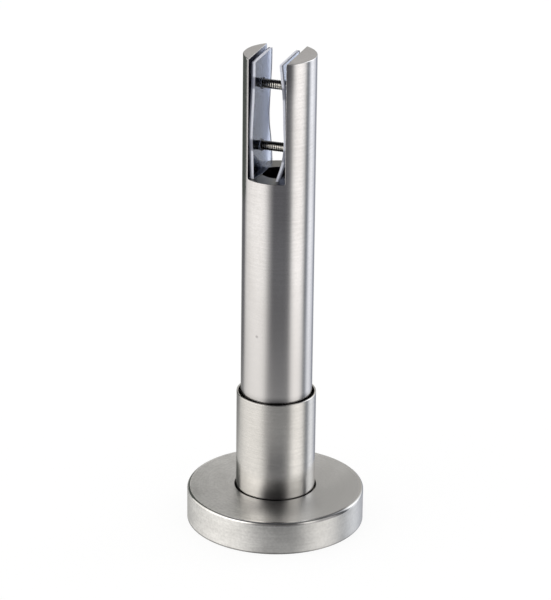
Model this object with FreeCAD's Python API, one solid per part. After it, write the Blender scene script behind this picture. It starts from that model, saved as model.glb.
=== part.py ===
import FreeCAD, Part
import math
import os
from FreeCAD import Vector

# Post and its slotted head, millimetres
POST_D = 38.1
POST_LENGTH = 235.5
SLOT_WIDTH = 20.8
SLOT_DEPTH = 64.5
SLOT_SHIFT = 1.6
EDGE_BREAK = 0.25
FOOT_CHAMFER = 1.0

# Stud, jack nut and lock screw
STUD_D = 18.0
STUD_TOP_DROP = 47.0
STUD_FOOT_RISE = 0.6
STUD_CHAMFER = 1.5
NUT_ACROSS_FLATS = 27.0
NUT_HEIGHT = 14.0
LOCK_SCREW_D = 6.0
LOCK_SCREW_RISE = 14.0
LOCK_KEY_AF = 3.0
LOCK_KEY_DEPTH = 3.0

# Base plate
PLATE_T = 8.0
BOSS_HEIGHT = 4.0
ANCHOR_COUNT = 4
ANCHOR_HOLE_D = 9.0
ANCHOR_PCD = 66.0

# Cover sleeve and cover rosette
SLEEVE_OD = 42.4
SLEEVE_WALL = 1.0
SLEEVE_LENGTH = 66.0
ROSETTE_OD = 95.0
ROSETTE_WALL = 1.5
ROSETTE_RIM_HEIGHT = 18.0
ROSETTE_CROWN = 1.0
ROSETTE_RIM_R = 1.5
ROSETTE_RIM_BANDS = 3
ROSETTE_HOLE_GAP = 0.8

# Clamp screws
CLAMP_D = 5.0
CLAMP_LENGTH = 30.0
CLAMP_DROP = 16.8
CLAMP_SPACING = 33.5
CLAMP_HEAD_D = 8.5
CLAMP_HEAD_H = 3.5
CLAMP_KEY_AF = 3.0
CLAMP_KEY_DEPTH = 2.0
CLAMP_SEAT_LEFT = 2.8
CLAMP_BLIND_SPARE = 1.0

# Liners
LINER_T = 2.0
LINER_WIDTH = 27.0
LINER_TOP_DROP = 1.7
LINER_HOLE_GAP = 0.7

# Bow of each liner: share of its height, then its stand-off from the jaw at its front and back edge
LEFT_BOW = (
    (0.00, 0.85, 2.00),
    (0.13, 0.62, 1.65),
    (0.22, 0.42, 1.20),
    (0.33, 0.05, 0.42),
    (0.43, 0.12, 0.12),
    (0.55, 0.45, 0.38),
    (0.68, 0.85, 0.75),
    (0.82, 1.15, 1.15),
    (1.00, 1.30, 1.30),
)
RIGHT_BOW = (
    (0.00, 4.15, 4.15),
    (0.07, 2.75, 2.75),
    (0.14, 1.45, 1.45),
    (0.22, 0.55, 0.55),
    (0.33, 0.03, 0.03),
    (0.45, 0.30, 0.30),
    (0.62, 0.60, 0.60),
    (0.77, 1.10, 1.10),
    (0.89, 1.95, 1.95),
    (1.00, 2.70, 2.70),
)
# Bulge of a liner's middle into the slot, at its foot, falling to nothing at the pinch
LEFT_FOOT_BULGE = 1.25
RIGHT_FOOT_BULGE = 0.0

# Clearances, on the radius or the gap
THREAD_GAP = 0.05
SLIDE_GAP = 0.10
SEAT_GAP = 0.02
HEAD_GAP = 0.25
CLAMP_HOLE_GAP = 0.25

# Levels and faces that follow from the values above
PLATE_TOP_Z = PLATE_T
BOSS_TOP_Z = PLATE_TOP_Z + BOSS_HEIGHT
POST_FOOT_Z = BOSS_TOP_Z + NUT_HEIGHT
POST_TOP_Z = POST_FOOT_Z + POST_LENGTH
SLOT_FLOOR_Z = POST_TOP_Z - SLOT_DEPTH
STUD_TOP_Z = SLOT_FLOOR_Z - STUD_TOP_DROP
POST_R = POST_D / 2
LEFT_FACE_X = -SLOT_WIDTH / 2 - SLOT_SHIFT
RIGHT_FACE_X = SLOT_WIDTH / 2 - SLOT_SHIFT
CLAMP_UPPER_Z = POST_TOP_Z - CLAMP_DROP
CLAMP_LOWER_Z = CLAMP_UPPER_Z - CLAMP_SPACING
CLAMP_SEAT_X = LEFT_FACE_X - CLAMP_SEAT_LEFT
CLAMP_TIP_X = CLAMP_SEAT_X + CLAMP_LENGTH
SLEEVE_ID = SLEEVE_OD - 2 * SLEEVE_WALL
ROSETTE_HOLE_D = SLEEVE_OD + 2 * ROSETTE_HOLE_GAP
ROSETTE_ID = ROSETTE_OD - 2 * ROSETTE_WALL
PLATE_D = ROSETTE_ID - 2 * SLIDE_GAP
BOSS_D = SLEEVE_ID - 2 * SLIDE_GAP
LOCK_SCREW_Z = POST_FOOT_Z + LOCK_SCREW_RISE
STUD_HOLE_D = STUD_D + 2 * THREAD_GAP
POST_BORE_D = STUD_D + 2 * SLIDE_GAP

# How near an edge lies to the level by which it is picked, and how far a cutter runs past a face
TOUCH = 0.01
OVERCUT = 1.0

AXIS_X = Vector(1, 0, 0)
AXIS_Y = Vector(0, 1, 0)
AXIS_Z = Vector(0, 0, 1)


def revolved(points):
    """Solid turned about Z from an outline of (radius, height) points."""
    outline = [Vector(radius, 0, height) for radius, height in points]
    face = Part.Face(Part.makePolygon(outline + outline[:1]))
    return face.revolve(Vector(0, 0, 0), AXIS_Z, 360)


def hexagon(across_flats, height, base, direction):
    """Hexagonal prism from base along direction."""
    corner_r = across_flats / math.sqrt(3)
    corners = []
    for k in range(7):
        angle = math.radians(60 * k + 30)
        corners.append(Vector(corner_r * math.cos(angle), corner_r * math.sin(angle), 0))
    prism = Part.Face(Part.makePolygon(corners)).extrude(Vector(0, 0, height))
    prism.Placement = FreeCAD.Placement(base, FreeCAD.Rotation(AXIS_Z, direction))
    return prism


def make_post():
    bar = Part.makeCylinder(POST_R, POST_LENGTH, Vector(0, 0, POST_FOOT_Z), AXIS_Z)
    foot_edges = [e for e in bar.Edges if abs(e.BoundBox.ZMax - POST_FOOT_Z) < TOUCH]
    bar = bar.makeChamfer(FOOT_CHAMFER, foot_edges)
    slot_corner = Vector(LEFT_FACE_X, -POST_D, SLOT_FLOOR_Z)
    bar = bar.cut(Part.makeBox(SLOT_WIDTH, 2 * POST_D, 2 * SLOT_DEPTH, slot_corner))

    # Break the upright corners of the jaws and the rims of their tops
    sharp = []
    for edge in bar.Edges:
        box = edge.BoundBox
        on_face = min(abs(box.XMin - LEFT_FACE_X), abs(box.XMin - RIGHT_FACE_X)) < TOUCH
        upright = max(box.XLength, box.YLength) < TOUCH and box.ZLength > SLOT_DEPTH / 2
        if (on_face and upright) or abs(box.ZMin - POST_TOP_Z) < TOUCH:
            sharp.append(edge)
    bar = bar.makeChamfer(EDGE_BREAK, sharp)

    bore_foot_z = POST_FOOT_Z - OVERCUT
    bore = Part.makeCylinder(POST_BORE_D / 2, SLOT_FLOOR_Z - bore_foot_z, Vector(0, 0, bore_foot_z), AXIS_Z)
    bar = bar.cut(bore)
    for z in (CLAMP_UPPER_Z, CLAMP_LOWER_Z):
        bar = bar.cut(clamp_hole(z))
    lock_r = LOCK_SCREW_D / 2 + THREAD_GAP
    return bar.cut(Part.makeCylinder(lock_r, POST_R + OVERCUT, Vector(0, 0, LOCK_SCREW_Z), -AXIS_Y))


def clamp_hole(z):
    """Stepped hole: head pocket and clear hole in the left jaw, blind thread in the right."""
    pocket_r = CLAMP_HEAD_D / 2 + HEAD_GAP
    pocket = Part.makeCylinder(pocket_r, POST_R, Vector(CLAMP_SEAT_X, 0, z), -AXIS_X)
    clear_r = CLAMP_D / 2 + CLAMP_HOLE_GAP
    clear_length = CLAMP_SEAT_LEFT + 2 * OVERCUT
    clear = Part.makeCylinder(clear_r, clear_length, Vector(CLAMP_SEAT_X - OVERCUT, 0, z), AXIS_X)
    thread_r = CLAMP_D / 2 + THREAD_GAP
    blind_start_x = RIGHT_FACE_X - OVERCUT
    blind_length = CLAMP_TIP_X + CLAMP_BLIND_SPARE - blind_start_x
    blind = Part.makeCylinder(thread_r, blind_length, Vector(blind_start_x, 0, z), AXIS_X)
    return pocket.fuse([clear, blind])


def make_clamp_screw(z):
    """Low-head socket screw M5, its thread drawn as a plain shank."""
    shank = Part.makeCylinder(CLAMP_D / 2, CLAMP_LENGTH, Vector(CLAMP_SEAT_X, 0, z), AXIS_X)
    tip = [e for e in shank.Edges if abs(e.BoundBox.XMin - CLAMP_TIP_X) < TOUCH]
    shank = shank.makeChamfer(CLAMP_D / 10, tip)
    head = Part.makeCylinder(CLAMP_HEAD_D / 2, CLAMP_HEAD_H, Vector(CLAMP_SEAT_X, 0, z), -AXIS_X)
    head_top_x = CLAMP_SEAT_X - CLAMP_HEAD_H
    crown = [e for e in head.Edges if abs(e.BoundBox.XMax - head_top_x) < TOUCH]
    head = head.makeChamfer(EDGE_BREAK, crown)
    key = hexagon(CLAMP_KEY_AF, CLAMP_KEY_DEPTH, Vector(head_top_x, 0, z), AXIS_X)
    return head.fuse(shank).cut(key).removeSplitter()


def liner_profile(across, face_x, inward, bow, bulge):
    """Closed upright outline of a liner, across its width from 0 at the front edge to 1 at the back."""
    foot_z = SLOT_FLOOR_Z + SEAT_GAP
    height = POST_TOP_Z - LINER_TOP_DROP - foot_z
    pinch_share = min(bow, key=lambda station: station[1])[0]
    y = (across - 0.5) * LINER_WIDTH
    sides = []
    for depth in (0, LINER_T):
        points = []
        for share, front, back in bow:
            swell = bulge * 4 * across * (1 - across) * max(0, 1 - share / pinch_share) ** 2
            stand_off = front + (back - front) * across + swell
            points.append(Vector(face_x + inward * (stand_off + depth), y, foot_z + share * height))
        curve = Part.BSplineCurve()
        curve.interpolate(points)
        sides.append(curve)
    near, far = sides
    top = Part.LineSegment(near.EndPoint, far.EndPoint)
    foot = Part.LineSegment(far.StartPoint, near.StartPoint)
    far.reverse()
    return Part.Wire([near.toShape(), top.toShape(), far.toShape(), foot.toShape()])


def make_liner(face_x, inward, bow, bulge):
    """Bowed clear strip with two screw holes, lofted across its width where its middle bulges."""
    front, middle, back = [liner_profile(across, face_x, inward, bow, bulge) for across in (0, 0.5, 1)]
    if bulge > 0:
        strip = Part.makeLoft([front, middle, back], True, False)
    else:
        strip = Part.Face(front).extrude(AXIS_Y * LINER_WIDTH)
    hole_r = CLAMP_D / 2 + LINER_HOLE_GAP
    for z in (CLAMP_UPPER_Z, CLAMP_LOWER_Z):
        hole = Part.makeCylinder(hole_r, SLOT_WIDTH, Vector(face_x, 0, z), AXIS_X * inward)
        strip = strip.cut(hole)
    return strip


def make_base_plate():
    plate_r = PLATE_D / 2
    boss_r = BOSS_D / 2
    hole_r = STUD_HOLE_D / 2
    plate = revolved([
        (hole_r, 0),
        (plate_r, 0),
        (plate_r, PLATE_TOP_Z),
        (boss_r, PLATE_TOP_Z),
        (boss_r, BOSS_TOP_Z),
        (hole_r, BOSS_TOP_Z),
    ])
    for k in range(ANCHOR_COUNT):
        angle = math.radians(360 * (k + 0.5) / ANCHOR_COUNT)
        centre = Vector(ANCHOR_PCD / 2 * math.cos(angle), ANCHOR_PCD / 2 * math.sin(angle), -OVERCUT)
        plate = plate.cut(Part.makeCylinder(ANCHOR_HOLE_D / 2, PLATE_T + 2 * OVERCUT, centre, AXIS_Z))
    return plate


def make_stud():
    """Threaded stud with chamfered ends; its thread is drawn as a plain crest cylinder."""
    r = STUD_D / 2
    return revolved([
        (0, STUD_FOOT_RISE),
        (r - STUD_CHAMFER, STUD_FOOT_RISE),
        (r, STUD_FOOT_RISE + STUD_CHAMFER),
        (r, STUD_TOP_Z - STUD_CHAMFER),
        (r - STUD_CHAMFER, STUD_TOP_Z),
        (0, STUD_TOP_Z),
    ])


def make_jack_nut():
    """Hexagon nut, flat under and with its corners chamfered on top."""
    corner_r = NUT_ACROSS_FLATS / math.sqrt(3)
    flat_r = NUT_ACROSS_FLATS / 2
    hole_r = STUD_HOLE_D / 2
    lip = (corner_r - flat_r) * math.tan(math.radians(30))
    nut = hexagon(NUT_ACROSS_FLATS, NUT_HEIGHT, Vector(0, 0, BOSS_TOP_Z), AXIS_Z)
    turned = revolved([
        (hole_r, BOSS_TOP_Z),
        (corner_r, BOSS_TOP_Z),
        (corner_r, POST_FOOT_Z - lip),
        (flat_r, POST_FOOT_Z),
        (hole_r, POST_FOOT_Z),
    ])
    return nut.common(turned)


def make_lock_screw():
    """Grub screw whose tip bears on the stud."""
    tip_y = -STUD_D / 2 - SEAT_GAP
    length = POST_R - STUD_D / 2 - LOCK_SCREW_D / 6
    screw = Part.makeCylinder(LOCK_SCREW_D / 2, length, Vector(0, tip_y, LOCK_SCREW_Z), -AXIS_Y)
    rims = [e for e in screw.Edges if e.BoundBox.YLength < TOUCH]
    screw = screw.makeChamfer(LOCK_SCREW_D / 12, rims)
    outer_y = tip_y - length
    key = hexagon(LOCK_KEY_AF, LOCK_KEY_DEPTH, Vector(0, outer_y, LOCK_SCREW_Z), AXIS_Y)
    return screw.cut(key)


def make_sleeve():
    """Thin tube with both rims of its top end broken."""
    outer_r = SLEEVE_OD / 2
    inner_r = SLEEVE_ID / 2
    top_z = PLATE_TOP_Z + SLEEVE_LENGTH
    return revolved([
        (inner_r, PLATE_TOP_Z),
        (outer_r, PLATE_TOP_Z),
        (outer_r, top_z - EDGE_BREAK),
        (outer_r - EDGE_BREAK, top_z),
        (inner_r + EDGE_BREAK, top_z),
        (inner_r, top_z - EDGE_BREAK),
    ])


def make_rosette():
    """Hollow cover: upright skirt, rounded rim and a slightly crowned top."""
    outer_r = ROSETTE_OD / 2
    inner_r = ROSETTE_ID / 2
    hole_r = ROSETTE_HOLE_D / 2
    crown_z = ROSETTE_RIM_HEIGHT + ROSETTE_CROWN

    # Rim rounded in narrow bands, from the upright skirt round to the sloping top
    slope = math.atan2(ROSETTE_CROWN, outer_r - hole_r)
    turn = math.pi / 2 - slope
    rim_foot_z = ROSETTE_RIM_HEIGHT - ROSETTE_RIM_R * math.tan(turn / 2)
    rim = []
    for k in range(ROSETTE_RIM_BANDS + 1):
        angle = turn * k / ROSETTE_RIM_BANDS
        radius = outer_r - ROSETTE_RIM_R * (1 - math.cos(angle))
        rim.append((radius, rim_foot_z + ROSETTE_RIM_R * math.sin(angle)))
    skirt = [(inner_r, 0), (outer_r, 0)]
    top = [(hole_r, crown_z), (hole_r, crown_z - ROSETTE_WALL), (inner_r, ROSETTE_RIM_HEIGHT - ROSETTE_WALL)]
    return revolved(skirt + rim + top)


NODES = {
    "base_plate": make_base_plate(),
    "threaded_stud": make_stud(),
    "jack_nut": make_jack_nut(),
    "post": make_post(),
    "lock_screw": make_lock_screw(),
    "liner_left": make_liner(LEFT_FACE_X, 1, LEFT_BOW, LEFT_FOOT_BULGE),
    "liner_right": make_liner(RIGHT_FACE_X, -1, RIGHT_BOW, RIGHT_FOOT_BULGE),
    "clamp_screw_upper": make_clamp_screw(CLAMP_UPPER_Z),
    "clamp_screw_lower": make_clamp_screw(CLAMP_LOWER_Z),
    "cover_sleeve": make_sleeve(),
    "cover_rosette": make_rosette(),
}

os.makedirs("parts", exist_ok=True)
for name, shape in NODES.items():
    shape.exportStep("parts/" + name + ".step")
    box = shape.BoundBox
    print(name, shape.isValid(), len(shape.Solids), round(shape.Volume), "mm3",
          "z", round(box.ZMin, 2), round(box.ZMax, 2))
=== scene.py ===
import bpy
import bmesh
import math
from mathutils import Matrix, Vector


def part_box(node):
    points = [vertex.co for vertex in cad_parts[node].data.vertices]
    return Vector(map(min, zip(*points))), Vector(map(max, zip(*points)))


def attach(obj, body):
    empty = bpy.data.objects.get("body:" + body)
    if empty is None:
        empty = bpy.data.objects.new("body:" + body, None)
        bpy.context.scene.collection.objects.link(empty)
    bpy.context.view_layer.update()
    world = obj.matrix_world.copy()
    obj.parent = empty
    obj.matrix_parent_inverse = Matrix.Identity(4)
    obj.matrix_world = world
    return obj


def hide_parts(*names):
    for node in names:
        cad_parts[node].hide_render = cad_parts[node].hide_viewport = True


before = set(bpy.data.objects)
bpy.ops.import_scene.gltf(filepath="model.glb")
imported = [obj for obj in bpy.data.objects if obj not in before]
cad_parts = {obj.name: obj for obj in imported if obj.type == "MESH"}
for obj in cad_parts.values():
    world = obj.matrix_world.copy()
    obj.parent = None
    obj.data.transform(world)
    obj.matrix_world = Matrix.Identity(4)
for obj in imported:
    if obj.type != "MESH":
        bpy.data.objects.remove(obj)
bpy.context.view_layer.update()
MM = 0.001


# Base plate
# A turned round steel plate, bare, with a centring boss and four anchor holes.
# It is bolted to the floor and stays hidden under the rosette.

def put(tree, kind, inputs=None, **settings):
    """Adds a node, sets its options, then fills or links its inputs."""
    made = tree.nodes.new(kind)
    for key, value in settings.items():
        setattr(made, key, value)
    for socket, value in (inputs or {}).items():
        if isinstance(value, bpy.types.NodeSocket):
            tree.links.new(value, made.inputs[socket])
        else:
            made.inputs[socket].default_value = value
    return made


def work_out(tree, operation, first, second=0.0, third=0.0):
    """One Math node's output."""
    return put(tree, "ShaderNodeMath", {0: first, 1: second, 2: third}, operation=operation).outputs[0]


def times(tree, first, second):
    """Product of two values."""
    return work_out(tree, "MULTIPLY", first, second)


def plus(tree, first, second):
    """Sum of two values."""
    return work_out(tree, "ADD", first, second)


def fade(tree, value, low, high, to_low=0.0, to_high=1.0):
    """Smooth step of a value from low to high."""
    inputs = {"Value": value, "From Min": low, "From Max": high, "To Min": to_low, "To Max": to_high}
    return put(tree, "ShaderNodeMapRange", inputs, interpolation_type="SMOOTHSTEP").outputs["Result"]


def spread(tree, noise, to_low=0.0, to_high=1.0, half=0.2):
    """Stretches a noise, which keeps near 0.5, over a whole range."""
    return fade(tree, noise, 0.5 - half, 0.5 + half, to_low, to_high)


def object_place(tree):
    """The Object coordinates of the point that is shaded."""
    return put(tree, "ShaderNodeTexCoord").outputs["Object"]


def axes_of(tree, place):
    """X, Y and Z of a place."""
    return put(tree, "ShaderNodeSeparateXYZ", {0: place}).outputs


def from_axis(tree, x, y):
    """Distance from the Z axis."""
    return work_out(tree, "SQRT", work_out(tree, "MULTIPLY_ADD", y, y, times(tree, x, x)))


def new_group(name, inputs, outputs):
    """Shader node group with float inputs {name: value} and outputs {name: socket type}."""
    group = bpy.data.node_groups.new(name, "ShaderNodeTree")
    sockets = group.interface
    for label, value in inputs.items():
        sockets.new_socket(label, in_out="INPUT", socket_type="NodeSocketFloat").default_value = value
    for label, kind in outputs.items():
        sockets.new_socket(label, in_out="OUTPUT", socket_type=kind)
    return group, group.nodes.new("NodeGroupInput"), group.nodes.new("NodeGroupOutput")


def make_turned_grain():
    """Fine lines that run round the Z axis on walls and in rings on flat faces."""
    inputs = {"Lines": 4000.0, "Round": 3.0, "Detail": 2.0}
    group, given, result = new_group("turned_grain", inputs, {"Height": "NodeSocketFloat"})
    x, y, z = axes_of(group, object_place(group))
    radius = from_axis(group, x, y)
    turn_x = work_out(group, "DIVIDE", x, radius)
    turn_y = work_out(group, "DIVIDE", y, radius)
    along = plus(group, z, radius)
    spot = put(group, "ShaderNodeCombineXYZ", {
        "X": times(group, turn_x, given.outputs["Round"]),
        "Y": times(group, turn_y, given.outputs["Round"]),
        "Z": times(group, along, given.outputs["Lines"]),
    })
    lines = put(group, "ShaderNodeTexNoise", {
        "Vector": spot.outputs[0], "Scale": 1.0, "Detail": given.outputs["Detail"], "Roughness": 0.6,
    })
    group.links.new(lines.outputs["Fac"], result.inputs["Height"])
    return group


def make_edge_mask():
    """White within a small distance of an edge, black elsewhere."""
    group, given, result = new_group("edge_mask", {"Reach": 0.6 * MM}, {"Mask": "NodeSocketFloat"})
    soft = put(group, "ShaderNodeBevel", {"Radius": given.outputs["Reach"]}, samples=6)
    flat = put(group, "ShaderNodeNewGeometry").outputs["Normal"]
    agree = put(group, "ShaderNodeVectorMath", {0: soft.outputs[0], 1: flat}, operation="DOT_PRODUCT")
    on_edge = 0.72
    off_edge = 0.99
    mask = fade(group, agree.outputs["Value"], on_edge, off_edge, 1.0, 0.0)
    group.links.new(mask, result.inputs["Mask"])
    return group


def make_mottle():
    """Soft blotches of handling and uneven polish, 0 to 1."""
    inputs = {"Patch": 90.0, "Stretch": 1.0}
    group, given, result = new_group("mottle", inputs, {"Value": "NodeSocketFloat"})
    x, y, z = axes_of(group, object_place(group))
    upright = times(group, z, given.outputs["Stretch"])
    spot = put(group, "ShaderNodeCombineXYZ", {"X": x, "Y": y, "Z": upright})
    blotch = put(group, "ShaderNodeTexNoise", {
        "Vector": spot.outputs[0], "Scale": given.outputs["Patch"], "Detail": 4.0, "Roughness": 0.55,
    })
    group.links.new(blotch.outputs["Fac"], result.inputs["Value"])
    return group


turned_grain = make_turned_grain()
edge_mask = make_edge_mask()
mottle = make_mottle()


def new_material(name):
    """Material with an empty Principled shader; gives the material, its tree and the shader."""
    material = bpy.data.materials.new(name)
    material.use_nodes = True
    tree = material.node_tree
    return material, tree, tree.nodes["Principled BSDF"]


def use_group(tree, group, **inputs):
    """Places a node group, sets its inputs and gives its output."""
    made = put(tree, "ShaderNodeGroup", node_tree=group)
    for label, value in inputs.items():
        made.inputs[label].default_value = value
    return made.outputs[0]


def blend_colour(tree, factor, first, second):
    """Mixes two colours by a factor."""
    made = put(tree, "ShaderNodeMix", {"Factor": factor}, data_type="RGBA")
    for label, value in (("A", first), ("B", second)):
        socket = next(s for s in made.inputs if s.name == label and s.type == "RGBA")
        if isinstance(value, bpy.types.NodeSocket):
            tree.links.new(value, socket)
        else:
            socket.default_value = (*value, 1)
    return next(s for s in made.outputs if s.type == "RGBA")


def paint(tree, colour, over, mask, strength):
    """Covers a colour with another one where a mask is white."""
    return blend_colour(tree, times(tree, mask, strength), colour, over)


def shade_of(colour, factor):
    """A plain colour made lighter or darker."""
    return tuple(min(1.0, channel * factor) for channel in colour)


def raise_lines(tree, shader, height, depth, normal=None):
    """Bump of a depth in metres, from a height of 0 to 1, on the shader's normal."""
    inputs = {"Height": height, "Strength": 1.0, "Distance": depth}
    if normal is not None:
        inputs["Normal"] = normal
    tree.links.new(put(tree, "ShaderNodeBump", inputs).outputs[0], shader.inputs["Normal"])


def turned_steel(name, bright, dull, rough_low, rough_high, lines, round_scale, depth, patch):
    """Metal with turned lines, blotches and brighter edges."""
    material, tree, shader = new_material(name)
    grain = use_group(tree, turned_grain, Lines=lines, Round=round_scale, Detail=2.0)
    blotch = use_group(tree, mottle, Patch=patch, Stretch=1.0)
    edges = use_group(tree, edge_mask, Reach=0.5 * MM)
    colour = blend_colour(tree, spread(tree, blotch), dull, bright)
    colour = paint(tree, colour, dull, grain, strength=0.25)
    colour = paint(tree, colour, shade_of(bright, 1.12), edges, strength=0.6)
    tree.links.new(colour, shader.inputs["Base Color"])
    rough = plus(tree, times(tree, grain, 0.6), times(tree, blotch, 0.4))
    tree.links.new(spread(tree, rough, rough_low, rough_high), shader.inputs["Roughness"])
    raise_lines(tree, shader, grain, depth)
    shader.inputs["Metallic"].default_value = 1.0
    return material


plate_steel = turned_steel(
    "plate_steel", bright=(0.54, 0.53, 0.51), dull=(0.44, 0.43, 0.41), rough_low=0.3, rough_high=0.42,
    lines=2600.0, round_scale=2.0, depth=0.02 * MM, patch=120.0,
)
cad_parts["base_plate"].data.materials[0] = plate_steel


# Threaded stud
# A length of 18 mm threaded bar, 2.5 mm pitch, zinc-dull steel with chamfered ends.
# It is screwed into the base plate and carries the nut and the post.

STUD_PITCH = 2.5 * MM
STUD_THREAD_DEPTH = 0.55 * STUD_PITCH
STUD_END_CHAMFER = 1.5 * MM
STUD_SIDES = 60
STUD_RINGS_PER_TURN = 8


def make_thread_tree():
    """Round bar along Z with a V thread and chamfered ends.

    The stored attribute crest is 1 on the thread's crest and 0 in its root.
    """
    tree = bpy.data.node_groups.new("cut_thread", "GeometryNodeTree")
    sockets = tree.interface
    sizes = {
        "Crest Radius": 9 * MM, "Thread Depth": 1.5 * MM, "Pitch": 2.5 * MM,
        "Length": 100 * MM, "End Chamfer": 1 * MM,
    }
    for label, value in sizes.items():
        sockets.new_socket(label, in_out="INPUT", socket_type="NodeSocketFloat").default_value = value
    for label, value in {"Sides": 48, "Rings": 400}.items():
        sockets.new_socket(label, in_out="INPUT", socket_type="NodeSocketInt").default_value = value
    sockets.new_socket("Finish", in_out="INPUT", socket_type="NodeSocketMaterial")
    sockets.new_socket("Bar", in_out="OUTPUT", socket_type="NodeSocketGeometry")
    size = tree.nodes.new("NodeGroupInput").outputs

    bar = put(tree, "GeometryNodeMeshCylinder", {
        "Vertices": size["Sides"], "Side Segments": size["Rings"],
        "Radius": size["Crest Radius"], "Depth": size["Length"],
    }, fill_type="TRIANGLE_FAN")
    x, y, z = axes_of(tree, put(tree, "GeometryNodeInputPosition").outputs[0])
    turn = work_out(tree, "DIVIDE", work_out(tree, "ARCTAN2", y, x), math.tau)
    rise = work_out(tree, "SUBTRACT", work_out(tree, "DIVIDE", z, size["Pitch"]), turn)
    off_crest = work_out(tree, "PINGPONG", work_out(tree, "FRACT", rise), 0.5)
    flank_top = 0.19
    flank_foot = 0.45
    cut = put(tree, "ShaderNodeMapRange", {
        "Value": off_crest, "From Min": flank_top, "From Max": flank_foot,
        "To Min": 0.0, "To Max": size["Thread Depth"],
    }).outputs["Result"]
    threaded = work_out(tree, "SUBTRACT", size["Crest Radius"], cut)

    half_length = times(tree, size["Length"], 0.5)
    to_end = work_out(tree, "SUBTRACT", half_length, work_out(tree, "ABSOLUTE", z))
    nose = plus(tree, work_out(tree, "SUBTRACT", size["Crest Radius"], size["End Chamfer"]), to_end)
    radius = work_out(tree, "MINIMUM", threaded, nose)
    share = work_out(tree, "DIVIDE", radius, size["Crest Radius"])
    moved = put(tree, "ShaderNodeCombineXYZ", {
        "X": times(tree, x, share), "Y": times(tree, y, share), "Z": z,
    })
    shaped = put(tree, "GeometryNodeSetPosition", {
        "Geometry": bar.outputs["Mesh"], "Position": moved.outputs[0],
    })
    crest = work_out(tree, "SUBTRACT", 1.0, work_out(tree, "DIVIDE", cut, size["Thread Depth"]))
    marked = put(tree, "GeometryNodeStoreNamedAttribute", {
        "Geometry": shaped.outputs[0], "Name": "crest", "Value": crest,
    }, data_type="FLOAT", domain="POINT")
    real = put(tree, "GeometryNodeRealizeInstances", {"Geometry": marked.outputs[0]})
    coated = put(tree, "GeometryNodeSetMaterial", {"Geometry": real.outputs[0], "Material": size["Finish"]})
    put(tree, "NodeGroupOutput", {"Bar": coated.outputs[0]})
    return tree


thread_tree = make_thread_tree()


def plain_mesh_from(tree, name, inputs):
    """Runs a geometry tree once and gives its result as a plain mesh."""
    holder = bpy.data.objects.new(name + "_maker", bpy.data.meshes.new(name + "_seed"))
    bpy.context.scene.collection.objects.link(holder)
    modifier = holder.modifiers.new("maker", "NODES")
    modifier.node_group = tree
    for item in tree.interface.items_tree:
        if item.in_out == "INPUT" and item.name in inputs:
            modifier[item.identifier] = inputs[item.name]
    bpy.context.view_layer.update()
    evaluated = holder.evaluated_get(bpy.context.evaluated_depsgraph_get())
    mesh = bpy.data.meshes.new_from_object(evaluated)
    mesh.name = name
    finish = mesh.materials[-1]
    mesh.materials.clear()
    mesh.materials.append(finish)
    for face in mesh.polygons:
        face.material_index = 0
    holder.modifiers.remove(modifier)
    bpy.data.objects.remove(holder)
    return mesh


def show(name, mesh, body, slot, *nodes):
    """Puts a finished mesh in the scene on its body, standing for its CAD nodes."""
    piece = bpy.data.objects.new(name, mesh)
    bpy.context.scene.collection.objects.link(piece)
    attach(piece, body)
    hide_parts(*nodes)


stud_low, stud_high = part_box("threaded_stud")
stud_length = stud_high.z - stud_low.z
stud_steel = turned_steel(
    "stud_steel", bright=(0.52, 0.51, 0.49), dull=(0.40, 0.39, 0.37), rough_low=0.28, rough_high=0.42,
    lines=900.0, round_scale=6.0, depth=0.01 * MM, patch=160.0,
)
stud_mesh = plain_mesh_from(thread_tree, "stud_thread", {
    "Crest Radius": (stud_high.x - stud_low.x) / 2,
    "Thread Depth": STUD_THREAD_DEPTH,
    "Pitch": STUD_PITCH,
    "Length": stud_length,
    "End Chamfer": STUD_END_CHAMFER,
    "Sides": STUD_SIDES,
    "Rings": round(stud_length / STUD_PITCH) * STUD_RINGS_PER_TURN,
    "Finish": stud_steel,
})
stud_mesh.transform(Matrix.Translation((0, 0, (stud_low.z + stud_high.z) / 2)))
show("stud_thread", stud_mesh, "base", "plain_steel", "threaded_stud")


# Jack nut
# A hexagon nut, 27 mm across flats, of bare steel with chamfered corners.
# It turns on the stud and carries the foot of the post.

nut_steel = turned_steel(
    "nut_steel", bright=(0.50, 0.49, 0.47), dull=(0.38, 0.37, 0.35), rough_low=0.3, rough_high=0.45,
    lines=1800.0, round_scale=2.0, depth=0.015 * MM, patch=140.0,
)
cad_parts["jack_nut"].data.materials[0] = nut_steel


# Post
# A round stainless bar, 38.1 mm, turned and satin finished, with a milled slot in its head.
# The milled faces of the slot are left dull, and painted shade makes them dark, with painted light on the
# walls to the back; the bar slides over the stud.

SLOT_HALF_WIDTH = 10.4 * MM
SLOT_SHIFT = 1.6 * MM
SLOT_DEPTH = 64.5 * MM
MILLED_SKIN = 0.08 * MM
EDGE_BREAK = 0.35 * MM
LEFT_JAW_START = -9 * MM
LEFT_JAW_EXTRA_BREAK = 0.55 * MM
post_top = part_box("post")[1].z
sleeve_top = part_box("cover_sleeve")[1].z
slot_floor_z = post_top - SLOT_DEPTH


def direction_of(tree, x, y):
    """Angle round the axis, 0 at the front and growing to the right."""
    return work_out(tree, "ARCTAN2", x, times(tree, y, -1.0))


def painted_dark_sectors(tree, colour, axes, share, patches):
    """Paints shade and dark reflections into a colour, in sectors round the axis.

    Each patch is (degrees from the front, half width, soft edge, strength).
    """
    around = direction_of(tree, *axes)
    for middle, half, soft, strength in patches:
        aside = work_out(tree, "ABSOLUTE", work_out(tree, "SUBTRACT", around, math.radians(middle)))
        there = fade(tree, aside, math.radians(half + soft), math.radians(half - soft), 0.0, strength)
        colour = paint(tree, colour, (0.012, 0.012, 0.025), share, there)
    return colour


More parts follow.
